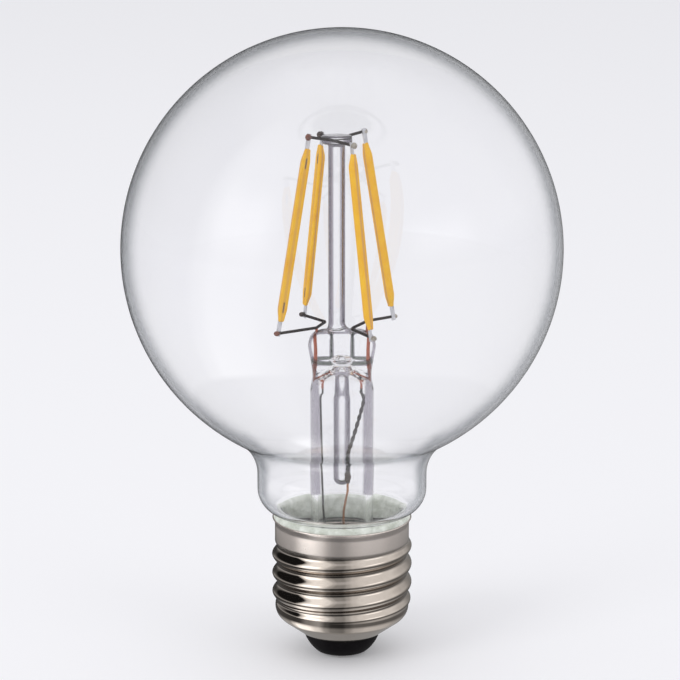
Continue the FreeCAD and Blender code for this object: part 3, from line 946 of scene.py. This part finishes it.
@dataclass
class Wiring:
    """Wires in and above the glass press, with their melted ends and welds."""

    radius: float = 0.27
    seal_radius: float = 0.25
    bend: float = 0.9
    stub: float = 0.8
    offset: float = -0.95
    arm_height: float = 62.4
    top_height: float = 96.6
    bottom_ring: float = 12.1
    top_ring: float = 5.6
    turn: float = 31.5
    seal_top: float = 4.67
    seal_foot: float = 4.02
    seal_foot_height: float = 50.2
    seal_rise: Pair = (-0.3, 1.0)
    left_elbow: Pair = (-2.1, 4.0)
    right_elbow: Pair = (2.6, -2.2)
    button_hold: float = 2.05
    foot_rise: dict[Corner, float] = by_corner(0.0, 0.0, 0.0, 0.5)
    head_rise: dict[Corner, float] = by_corner(0.7, -0.6, 0.3, 1.1)
    foot_bead: Triple = (0.55, 0.5, 0.46)
    foot_bead_out: float = 0.5
    head_bead: Triple = (0.56, 0.54, 0.6)
    head_bead_out: float = 0.3
    bead_rows: int = 20
    bead_columns: int = 28
    tip_rows: int = 7
    columns: int = 16

    def ring(self, radius: float, degrees: float, height: float) -> np.ndarray:
        """Point on a ring about the support rod, in degrees from +X before the cage is turned."""
        angle = math.radians(degrees + self.turn)
        return np.array([self.offset + radius * math.cos(angle), radius * math.sin(angle), height])

    def foot(self, corner: Corner) -> np.ndarray:
        """Point where the lower end of a filament is welded."""
        return self.ring(self.bottom_ring, corner.value, self.arm_height + self.foot_rise[corner])

    def head(self, corner: Corner) -> np.ndarray:
        """Point where the upper end of a filament is welded."""
        return self.ring(self.top_ring, corner.value, self.top_height + self.head_rise[corner])

    def past(self, start: np.ndarray, end: np.ndarray) -> np.ndarray:
        """Point a stub past the end of a stretch of wire."""
        return end + unit(end - start) * self.stub

    def wire(self, name: str, points: list[np.ndarray], radius: float, finish: Material, slot: str) -> Piece:
        """Round wire with rounded bends and ends.

        Args:
            name: CAD node that the wire stands for.
            points: corners of the wire.
            radius: radius of the wire.
            finish: finished material.
            slot: material slot of the record.

        Returns:
            The piece.
        """
        route = rounded_route(np.array(points, float), self.bend)
        places = travel(route)
        tips = radius * (1 - np.cos(np.linspace(0, np.pi / 2, self.tip_rows)))
        spots = np.unique(np.concatenate([places, tips, places[-1] - tips]))
        thick = radius * round_end(np.minimum(spots, spots[-1] - spots), radius)
        grid = tube(sampled(route, places, spots), thick, self.columns)
        return place(dress(skin("wire_" + name, [grid], Ends.POLES), finish), slot, name)

    def bead(self, name: str, middle: np.ndarray, size: Triple, finish: Material) -> Piece:
        """Melted weld: an ellipsoid with half axes a, b, c: (a cos v cos u, b cos v sin u, c sin v).

        Args:
            name: name of the piece.
            middle: its middle.
            size: half axes.
            finish: finished material.

        Returns:
            The piece.
        """
        ball = arc((0, 0), 1.0, 90, -90, self.bead_rows)
        ball[[0, -1], 0] = 0
        piece = skin(name, [turned(ball, self.bead_columns) * size + middle], Ends.POLES)
        return place(dress(piece, finish), "dark_wire")

    def build_wires(self, dark: Finish, copper: Finish) -> list[Piece]:
        """All wires above the press and the seal wires in it.

        Args:
            dark: finish of the arm and top wires.
            copper: finish of the seal wires.

        Returns:
            The pieces.
        """
        iron, red = dark.make(), copper.make()
        pieces = []
        for way, name, rise, elbow_place, near, far in (
                (-1, "left", self.seal_rise[0], self.left_elbow, Corner.FRONT_LEFT, Corner.REAR_LEFT),
                (1, "right", self.seal_rise[1], self.right_elbow, Corner.REAR_RIGHT, Corner.FRONT_RIGHT)):
            seal = np.array([way * self.seal_top, 0, self.arm_height + rise])
            elbow = np.array([self.offset + elbow_place[0], elbow_place[1], self.arm_height])
            arm = [self.past(seal, self.foot(near)), seal, elbow, self.past(elbow, self.foot(far))]
            pieces.append(self.wire("arm_wire_" + name, arm, self.radius, iron, "dark_wire"))
            base = np.array([way * self.seal_foot, 0, self.seal_foot_height])
            pieces.append(self.wire("seal_wire_" + name, [base, seal], self.seal_radius, red, "seal_copper"))
        for name, first, last in (
                ("front", Corner.FRONT_LEFT, Corner.FRONT_RIGHT),
                ("rear", Corner.REAR_RIGHT, Corner.REAR_LEFT)):
            hold = self.ring(self.button_hold, (first.value + last.value) / 2, self.top_height)
            route = [self.past(hold, self.head(first)), hold, self.past(hold, self.head(last))]
            pieces.append(self.wire("top_wire_" + name, route, self.radius, iron, "dark_wire"))
        return pieces

    def build_welds(self, finishes: dict[Tone, Finish]) -> list[Piece]:
        """Melted beads where the tabs are welded to the wires.

        Args:
            finishes: finish of each tone.

        Returns:
            The pieces.
        """
        materials = {tone: finish.make() for tone, finish in finishes.items()}
        tones = dict(zip(Corner, (Tone.RED, Tone.SILVER, Tone.DARK, Tone.SILVER)))
        pieces = []
        for corner, tone in tones.items():
            outward = self.ring(1.0, corner.value, 0) - self.ring(0.0, corner.value, 0)
            for end, spot, size, out in (
                    ("_foot", self.foot(corner), self.foot_bead, self.foot_bead_out),
                    ("_head", self.head(corner), self.head_bead, self.head_bead_out)):
                name = "weld_" + corner.name.lower() + end
                pieces.append(self.bead(name, spot + out * outward, size, materials[tone]))
        return pieces


@dataclass
class Filaments:
    """Four phosphor coats with rounded, tapered ends round their metal carriers."""

    wiring: Wiring = field(default_factory=Wiring)
    length: float = 31.4
    width: float = 1.7
    thickness: float = 1.35
    base: float = 0.25
    belly: float = 0.1
    taper: float = 2.6
    nose: float = 0.3
    end_width: float = 1.1
    end_thickness: float = 0.75
    carrier_thickness: float = 0.25
    bite: float = 0.06
    rounding: float = 1e-6
    nose_rows: int = 9
    body_rows: int = 120
    columns: int = 40

    def coat(self) -> tuple[np.ndarray, dict[str, list[np.ndarray]]]:
        """Grid of one coat about its own axis: x = w/2 cos u and y = back + h sin u.

        On the flat side h is a slight belly. On the domed side it grows over the tapered ends, as the width w
        does, and both are drawn in to a round nose.

        Returns:
            The grid, and its along and across attributes. Across is cos u on the flat side and 1 + sin u on
            the domed side.
        """
        nose, length = self.nose, self.length
        tips = nose * (1 - np.cos(np.linspace(0, np.pi / 2, self.nose_rows)))
        body = np.linspace(nose, length - nose, self.body_rows)
        along = np.unique(np.concatenate([tips, body, length - tips]))
        tip = np.minimum(along, length - along)
        draw = round_end(tip, nose)[:, None]
        rise = np.clip(tip / self.taper, 0, 1)
        rise = (rise * rise * (3 - 2 * rise))[:, None]
        high = self.end_thickness + (self.thickness - self.end_thickness) * rise
        wide = self.end_width + (self.width - self.end_width) * rise
        turn = around(self.columns)
        cos, sin = np.cos(turn), np.sin(turn)
        domed = sin > self.rounding
        back = -self.carrier_thickness / 2 - self.base
        lift = np.where(domed, high, self.belly) * sin
        height = along[:, None] - length / 2 + 0 * turn
        grid = np.stack([draw * wide / 2 * cos, draw * (back + lift), height], axis=2)
        across = np.where(domed, 1 + sin, cos)[None]
        return grid[:, ::-1], {"along": [(along / length)[:, None]], "across": [across[:, ::-1]]}

    def build(self, finish: Finish) -> list[Piece]:
        """The four coats, each lying against the ends of its two wires.

        Args:
            finish: phosphor.

        Returns:
            The pieces.
        """
        material, wires = finish.make(), self.wiring
        grid, marks = self.coat()
        pieces = []
        for corner in Corner:
            foot, head = wires.foot(corner), wires.head(corner)
            upward = unit(head - foot)
            aside = wires.ring(1.0, corner.value - 90, 0) - wires.ring(0.0, 0, 0)
            shift = aside * (wires.radius + self.carrier_thickness / 2 - self.bite)
            axes = np.stack([np.cross(aside, upward), aside, upward])
            name = corner.name.lower()
            piece = skin("coat_" + name, [grid @ axes + (foot + head) / 2 + shift], Ends.POLES, marks)
            pieces.append(place(dress(piece, material), "phosphor", "filament_" + name))
        return pieces


@dataclass
class Lead:
    """Right lead in the stem, twisted from two strands, and the knot that joins it to the copper wire."""

    start: Triple = (4.02, 0.0, 50.5)
    bend_height: float = 48.2
    bend: float = 0.9
    knot: Triple = (1.0, -2.4, 35.4)
    knot_length: float = 3.2
    knot_radius: float = 0.6
    knot_power: float = 0.8
    knot_rows: int = 60
    knot_columns: int = 36
    strand: float = 0.2
    strand_rows: int = 160
    strand_columns: int = 14
    apart: float = 0.17
    twist: float = 2.6
    ridges: int = 3
    ridge_depth: float = 0.2
    ridge_twist: float = 1.5

    def strands(self) -> list[np.ndarray]:
        """Grids of two strands: tubes round route + e (cos k, sin k, 0), where k grows with the height.

        Returns:
            Grids of the two strands, half a turn apart, in millimetres.
        """
        above = np.array(self.knot) + (0, 0, self.knot_length)
        bend = (*self.start[:2], self.bend_height)
        route = rounded_route(np.array([self.start, bend, above, self.knot]), self.bend)
        route = sampled(route, np.arange(len(route)), np.linspace(0, len(route) - 1, self.strand_rows))
        turn = 2 * np.pi * route[:, 2] / self.twist
        thick = np.full(len(route), self.strand)
        thick[[0, -1]] = 0
        swing = self.apart * np.stack([np.cos(turn), np.sin(turn), 0 * turn], axis=1)
        return [tube(route + way * swing, thick, self.strand_columns) for way in (1, -1)]

    def knot_grid(self) -> np.ndarray:
        """Grid of the knot: an ellipsoid cut in by a share d (1 - cos(n u - k z)) / 2 at angle u, height z.

        Returns:
            Grid of rows by columns by 3, in millimetres.
        """
        height = np.linspace(self.knot_length / 2, -self.knot_length / 2, self.knot_rows)
        swell = np.sqrt(np.clip(1 - (2 * height / self.knot_length) ** 2, 0, 1))
        line = np.stack([self.knot_radius * swell ** self.knot_power, height], axis=1)
        grid = turned(line, self.knot_columns)
        phase = self.ridges * around(self.knot_columns) - 2 * np.pi * height[:, None] / self.ridge_twist
        grid[:, :, :2] *= (1 - self.ridge_depth * (1 - np.cos(phase)) / 2)[:, :, None]
        return grid + self.knot

    def build(self, iron: Finish, joint: Finish) -> list[Piece]:
        """The twisted lead and the knot.

        Args:
            iron: finish of the lead.
            joint: finish of the knot.

        Returns:
            The pieces.
        """
        lead = skin("twisted_lead", self.strands(), Ends.POLES)
        knot = skin("lead_knot", [self.knot_grid()], Ends.POLES)
        return [
            place(dress(lead, iron.make()), "lead_wire", "outer_lead_right"),
            place(dress(knot, joint.make()), "splice_metal", "lead_splice")]


@dataclass
class Cap:
    """Sheet-metal cap with its rolled thread."""

    sheet: float = 0.3
    collar: float = 12.5
    flare: float = 0.45
    flare_height: float = 1.3
    mean: float = 12.6
    depth: float = 0.9
    pitch: float = 3.629
    fade: float = 1.7
    front_valley: float = 21.9
    cone_bottom: float = 4.1
    thread_bottom: float = 9.2
    thread_top: float = 22.4
    top: float = 26.5
    hole: float = 7.4
    cone_bend: float = 2.6
    columns: int = 216

    def outline(self, inset: float) -> np.ndarray:
        """Outline of the sheet from the hole up to the rim without its thread.

        Args:
            inset: distance inside the outer surface.

        Returns:
            (radius, height) rows.
        """
        centre = (self.collar - self.cone_bend, self.thread_bottom)
        run, rise = centre[0] - self.hole, centre[1] - self.cone_bottom
        slope = math.atan2(rise, run) - math.asin(self.cone_bend / math.hypot(run, rise))
        lip = (self.hole - inset * math.sin(slope), self.cone_bottom + inset * math.cos(slope))
        turn = 2 * math.atan(self.flare / self.flare_height)
        bend = self.flare_height / math.sin(turn)
        start = self.top - (bend + self.sheet) * math.sin(turn)
        knee = arc(centre, self.cone_bend - inset, math.degrees(slope) - 90, 0, 16)
        wall = self.collar - inset
        return joined(
            straight(lip, tuple(knee[0]), 16),
            knee,
            straight((wall, self.thread_bottom), (wall, self.thread_top), 150),
            straight((wall, self.thread_top), (wall, start), 16),
            arc((self.collar + bend, start), bend + inset, 180, 180 - math.degrees(turn), 12),
        )

    def threaded(self, outline: np.ndarray) -> np.ndarray:
        """Grid of the outline with its thread: level circles of radius R whose centre goes round the axis at
        distance d, so r = d cos(u - c) + sqrt(R^2 - d^2 sin(u - c)^2), with d fading out at both thread ends.

        Args:
            outline: (radius, height) rows.

        Returns:
            Grid of rows by columns by 3, in millimetres.
        """
        turn = around(self.columns)
        height = outline[:, 1:]
        run_out = np.clip(np.minimum(height - self.thread_bottom, self.thread_top - height) / self.fade, 0, 1)
        strength = (1 - np.cos(np.pi * run_out)) / 2
        radius = outline[:, :1] + (self.mean - self.collar) * strength
        crest = np.pi / 2 + 2 * np.pi * (height - self.front_valley) / self.pitch
        swing = strength * self.depth / 2
        reach = swing * np.cos(turn - crest) + np.sqrt(radius ** 2 - (swing * np.sin(turn - crest)) ** 2)
        return np.stack([reach * np.cos(turn), reach * np.sin(turn), height + 0 * turn], axis=2)

    def build(self, finish: Finish) -> Piece:
        """The shell's outer and inner surfaces as one closed skin.

        Args:
            finish: plated metal.

        Returns:
            The piece.
        """
        line = joined(self.outline(self.sheet), self.outline(0.0)[::-1])
        piece = skin("threaded_shell", [self.threaded(line)], Ends.RING)
        return place(dress(piece, finish.make()), "nickel_plate", "cap_shell")


@dataclass
class Stage:
    """Floor, lights, world and camera."""

    # Degrees round the lamp from the front, and the brightness above, level with and below the cap
    room: tuple[tuple[float, ...], ...] = (
        (-180, 0.04, 0.10, 0.04), (-155, 0.01, 0.05, 0.06), (-138, 0.01, 0.08, 0.30), (-84, 0.01, 0.06, 0.46),
        (-75, 0.90, 0.05, 1.00), (-66, 1.30, 0.06, 1.75), (-50, 1.30, 0.30, 1.75), (-34, 1.05, 0.40, 1.05),
        (-22, 0.55, 0.10, 0.42), (-14, 0.35, 0.04, 0.25), (0, 0.32, 0.03, 0.21), (8, 0.50, 0.08, 0.38),
        (18, 0.75, 0.15, 0.60), (35, 0.95, 0.16, 0.76), (60, 0.95, 0.16, 0.68), (90, 0.90, 0.14, 0.45),
        (120, 0.60, 0.16, 0.32), (150, 0.28, 0.14, 0.26), (180, 0.04, 0.10, 0.04))
    # Belt of the room that comes in between two heights in degrees, from the bottom up
    belts: tuple[tuple[str, float, float], ...] = (
        ("Blue", -58, -50), ("Green", -40, -31), ("Blue", -11.2, -10.4), ("Red", -4, 10))
    under: float = 0.32
    eye_level: float = 15.0
    # Limits of each window in degrees round the lamp and in height, and how much it adds
    windows: tuple[tuple[float, ...], ...] = ((-78, -30, -2, 40, 1.2), (30, 78, -2, 28, 0.9))
    window_edge: float = 16.0
    # Name, middle in metres, width and height, and watts of each lamp
    lamps: tuple[tuple[str, Triple, Pair, float], ...] = (
        ("left_window", (-1.35, -1.1, 0.85), (0.8, 1.12), 9.2),
        ("right_window", (1.4, -1.05, 0.65), (0.9, 0.75), 3.3))
    target: Triple = (0, 0, 0.06)
    sensor: float = 36.0
    lens: float = 109.49
    eye: Triple = (-0.36, -370.0, 139.3)
    tilt: float = 12.123
    clip_start: float = 0.01
    sky_colour: Triple = (0.84, 0.84, 0.86)
    ceiling: Pair = (0.75, 0.95)
    floor_colour: Triple = (0.8, 0.8, 0.82)
    floor_roughness: float = 0.9
    floor_glow: float = 0.13
    floor_half: float = 6.0
    floor_drop: float = 0.05
    bounces: int = 32

    def camera(self) -> None:
        """Camera at the photograph's viewpoint."""
        data = bpy.data.cameras.new("camera")
        data.sensor_width = self.sensor
        data.lens = self.lens
        data.clip_start = self.clip_start
        eye = bpy.data.objects.new("camera", data)
        eye.location = [place * MM for place in self.eye]
        eye.rotation_euler = (math.radians(90 - self.tilt), 0, 0)
        bpy.context.scene.collection.objects.link(eye)
        bpy.context.scene.camera = eye

    def room_group(self) -> Tree:
        """Node group with the studio's brightness by direction: soft boxes and dark flags round the lamp.

        Returns:
            The group, with input Vector and output Brightness.
        """
        group, entry, leave = new_group("studio_room", {"Vector": "Vector"}, "Brightness")
        way = node(group, "ShaderNodeVectorMath", {0: entry["Vector"]}, operation="NORMALIZE")
        split = node(group, "ShaderNodeSeparateXYZ", {"Vector": way.outputs["Vector"]}).outputs
        front = sums(group, "MULTIPLY", split["Y"], -1.0)
        angle = sums(group, "ARCTAN2", split["X"], front)
        share = ramp(group, angle, -math.pi, math.pi, kind="LINEAR")
        dial = node(group, "ShaderNodeValToRGB", {"Fac": share})
        dial.color_ramp.interpolation = "EASE"
        peak = max(max(row[1:]) for row in self.room)
        stops = dial.color_ramp.elements
        stops[0].position, stops[1].position = 0.0, 1.0
        for row in self.room[1:-1]:
            stops.new((row[0] + 180) / 360)
        for stop, row in zip(stops, self.room):
            stop.color = (*(value / peak for value in row[1:]), 1)
        levels = node(group, "ShaderNodeSeparateColor", {"Color": dial.outputs["Color"]}).outputs
        glow = self.under / peak
        for belt, low, high in self.belts:
            rise = ramp(group, split["Z"], self.level(low), self.level(high), kind="LINEAR")
            values = {"Factor": rise, "A": glow, "B": levels[belt]}
            glow = node(group, "ShaderNodeMix", values).outputs["Result"]
        glow = sums(group, "MULTIPLY", glow, peak)
        soft = math.radians(self.window_edge)
        for left, right, low, high, more in self.windows:
            beside = band(group, angle, math.radians(left), math.radians(right), soft)
            above = band(group, split["Z"], self.level(low), self.level(high), soft)
            glow = sums(group, "MULTIPLY_ADD", sums(group, "MULTIPLY", beside, above), more, glow)
        group.links.new(glow, leave)
        return group

    @staticmethod
    def level(degrees: float) -> float:
        """Height of a direction of length one at an angle above the horizon."""
        return math.sin(math.radians(degrees))

    def mirror_rays(self, tree: Tree) -> Socket:
        """Mask of the rays that a mirror or a glass surface throws back: glossy, but not passed through."""
        path = node(tree, "ShaderNodeLightPath").outputs
        return sums(tree, "SUBTRACT", path["Is Glossy Ray"], path["Is Transmission Ray"], clamp=True)

    def floor(self, room: Tree) -> None:
        """Pale floor with the lamp's shadow. Mirror rays see the studio in it.

        Args:
            room: node group of the studio's brightness.
        """
        material = bpy.data.materials.new("pale_floor")
        material.use_nodes = True
        tree = material.node_tree
        shader = tree.nodes["Principled BSDF"]
        path = node(tree, "ShaderNodeLightPath").outputs
        seen = sums(tree, "MAXIMUM", path["Is Camera Ray"], path["Is Transmission Ray"])
        feed(tree, shader.inputs, {
            "Base Color": self.floor_colour, "Roughness": self.floor_roughness, "Specular IOR Level": 0.0,
            "Emission Color": (1, 1, 1), "Emission Strength": sums(tree, "MULTIPLY", seen, self.floor_glow)})
        spot = node(tree, "ShaderNodeTexCoord").outputs["Object"]
        down = (0, 0, -self.eye_level * MM)
        lower = node(tree, "ShaderNodeVectorMath", {0: spot, 1: down}, operation="ADD")
        studio = node(tree, "ShaderNodeGroup", {"Vector": lower.outputs["Vector"]}, node_tree=room)
        mirror = node(tree, "ShaderNodeEmission", {"Color": studio.outputs["Brightness"]})
        mix = node(tree, "ShaderNodeMixShader", {
            "Fac": self.mirror_rays(tree), 1: shader.outputs["BSDF"], 2: mirror.outputs["Emission"]})
        feed(tree, tree.nodes["Material Output"].inputs, {"Surface": mix.outputs["Shader"]})
        half = self.floor_half
        corners = [(x * half, y * half, 0) for x, y in ((-1, -1), (1, -1), (1, 1), (-1, 1))]
        mesh = bpy.data.meshes.new("floor")
        mesh.from_pydata(corners, [], [(0, 1, 2, 3)])
        ground = bpy.data.objects.new("floor", mesh)
        ground.location = (0, 0, -self.floor_drop * MM)
        bpy.context.scene.collection.objects.link(ground)
        dress(ground, material)

    def soft_box(self, name: str, at: Triple, size: Pair, power: float) -> None:
        """Soft rectangular light aimed at the globe, which mirror rays and glass don't see.

        Args:
            name: name of the light.
            at: its middle, in metres.
            size: width and height.
            power: watts.
        """
        data = bpy.data.lights.new(name, "AREA")
        data.shape = "RECTANGLE"
        data.size, data.size_y = size
        data.energy = power
        lamp = bpy.data.objects.new(name, data)
        lamp.location = at
        aim = unit(np.array(self.target) - np.array(at))
        lamp.rotation_euler = (math.acos(-aim[2]), 0, math.atan2(aim[1], aim[0]) - math.pi / 2)
        lamp.visible_glossy = False
        lamp.visible_transmission = False
        bpy.context.scene.collection.objects.link(lamp)

    def world(self, room: Tree) -> None:
        """Even white light. Mirror rays see the studio, up to the plain ceiling.

        Args:
            room: node group of the studio's brightness.
        """
        sky = bpy.data.worlds.new("studio")
        sky.use_nodes = True
        tree = sky.node_tree
        spot = node(tree, "ShaderNodeTexCoord").outputs["Generated"]
        studio = node(tree, "ShaderNodeGroup", {"Vector": spot}, node_tree=room)
        height = node(tree, "ShaderNodeSeparateXYZ", {"Vector": spot}).outputs["Z"]
        below = ramp(tree, height, *self.ceiling, (1.0, 0.0), "LINEAR")
        share = sums(tree, "MULTIPLY", below, self.mirror_rays(tree))
        colour = blend(tree, share, self.sky_colour, studio.outputs["Brightness"])
        feed(tree, tree.nodes["Background"].inputs, {"Color": colour})
        bpy.context.scene.world = sky

    def build(self) -> None:
        """The whole studio."""
        room = self.room_group()
        self.camera()
        self.floor(room)
        self.world(room)
        for lamp in self.lamps:
            self.soft_box(*lamp)
        cycles = bpy.context.scene.cycles
        cycles.max_bounces = self.bounces
        cycles.transmission_bounces = self.bounces
        cycles.transparent_max_bounces = self.bounces
        bpy.context.scene.view_settings.view_transform = "Standard"


# Edge colours are painted edge shade; the stem's dark crease colour is painted crease shade
GLOBE_GLASS = Glass(
    "globe_glass", (1.0, 1.0, 1.0), (0.985, 0.985, 0.995), (0.0, 0.0), 25.0, specular=0.22,
    edge=(0.36, 0.38, 0.4), edge_width=0.25)
STEM_GLASS = Glass(
    "stem_glass", (1.0, 1.0, 1.0), (0.98, 0.98, 0.99), (0.0, 0.0), 60.0,
    edge=(0.2, 0.18, 0.22), edge_width=0.08, crease_shade_colour=(0.03, 0.036, 0.03))
DARK_WIRE = Finish(
    "dark_wire", (0.003, 0.001, 0.001), (0.016, 0.006, 0.004), (0.45, 0.65), 900.0, specular=0.02)
SEAL_COPPER = Finish("seal_copper", (0.4, 0.09, 0.035), (0.25, 0.05, 0.02), (0.4, 0.6), 900.0, specular=0.2)
PHOSPHOR = Phosphor(
    "phosphor", (0.86, 0.5, 0.004), (0.78, 0.38, 0.004), (0.4, 0.55), 350.0, bump=0.02, specular=0.2)
NICKEL_PLATE = Plate(
    "nickel_plate", (0.68, 0.61, 0.55), (0.6, 0.53, 0.47), (0.03, 0.08), 220.0, bump=0.003, metallic=1.0)
WELDS: dict[Tone, Finish] = {
    Tone.RED: Finish(
        "weld_red", (0.2, 0.05, 0.022), (0.09, 0.03, 0.018), (0.4, 0.6), 1500.0, bump=0.08, specular=0.2),
    Tone.DARK: Finish(
        "weld_dark", (0.02, 0.012, 0.01), (0.06, 0.035, 0.025), (0.4, 0.6), 1500.0, bump=0.08, specular=0.2),
    Tone.SILVER: Finish(
        "weld_silver", (0.6, 0.57, 0.5), (0.2, 0.16, 0.12), (0.3, 0.5), 1500.0, bump=0.08, metallic=0.7)}
CAD_FINISHES: dict[str, Finish] = {finish.name: finish for finish in (
    Finish("tab_metal", (0.72, 0.72, 0.75), (0.5, 0.5, 0.52), (0.25, 0.45), 900.0, metallic=1.0),
    Finish("lead_wire", (0.006, 0.0035, 0.0025), (0.02, 0.012, 0.008), (0.35, 0.5), 900.0, contrast=4.0,
           specular=0.03),
    Finish("splice_metal", (0.09, 0.055, 0.037), (0.025, 0.017, 0.013), (0.4, 0.7), 1500.0, bump=0.1,
           specular=0.15),
    Finish("feed_copper", (0.42, 0.18, 0.07), (0.3, 0.12, 0.05), (0.3, 0.5), 700.0, metallic=0.5),
    Finish("cement", (0.78, 0.81, 0.75), (0.5, 0.53, 0.46), (0.8, 0.95), 600.0, contrast=3.0, bump=0.1),
    Finish("black_insulator", (0.004, 0.003, 0.004), (0.009, 0.008, 0.009), (0.4, 0.55), 300.0,
           specular=0.05),
    Finish("contact_metal", (0.7, 0.66, 0.58), (0.5, 0.47, 0.42), (0.3, 0.5), 500.0, metallic=1.0),
    # Its own dark green, darkened further as painted shade inside the enclosed cap
    Finish("circuit_board", (0.015, 0.045, 0.025), (0.03, 0.06, 0.035), (0.4, 0.55), 250.0),
    Finish("chip_package", (0.012, 0.012, 0.012), (0.022, 0.022, 0.022), (0.5, 0.7), 900.0),
    Finish("capacitor_sleeve", (0.02, 0.02, 0.035), (0.03, 0.03, 0.05), (0.25, 0.4), 300.0),
    Finish("resistor_body", (0.12, 0.2, 0.16), (0.16, 0.25, 0.2), (0.45, 0.6), 500.0),
    Finish("tinned_wire", (0.68, 0.67, 0.64), (0.5, 0.5, 0.48), (0.3, 0.5), 500.0, metallic=1.0))}


def dress_nodes() -> None:
    """Give every CAD node that still shows the finish of its slot."""
    materials = {slot: finish.make() for slot, finish in CAD_FINISHES.items()}
    for entry in frame["record"]["subparts"]:
        piece = frame["nodes"][entry["node"]]
        if not piece.hide_render:
            dress(piece, materials[entry["material_slot"]])
            LOG.info("%s keeps its CAD form", entry["node"])


def main() -> None:
    """Build and dress the lamp, then its studio."""
    logging.basicConfig(level=logging.INFO, format="%(name)s: %(message)s")
    Globe().build(GLOBE_GLASS)
    Mount().build(STEM_GLASS)
    wiring = Wiring()
    wiring.build_wires(DARK_WIRE, SEAL_COPPER)
    wiring.build_welds(WELDS)
    Filaments(wiring).build(PHOSPHOR)
    Lead().build(CAD_FINISHES["lead_wire"], CAD_FINISHES["splice_metal"])
    Cap().build(NICKEL_PLATE)
    dress_nodes()
    Stage().build()


if __name__ == "__main__":
    main()
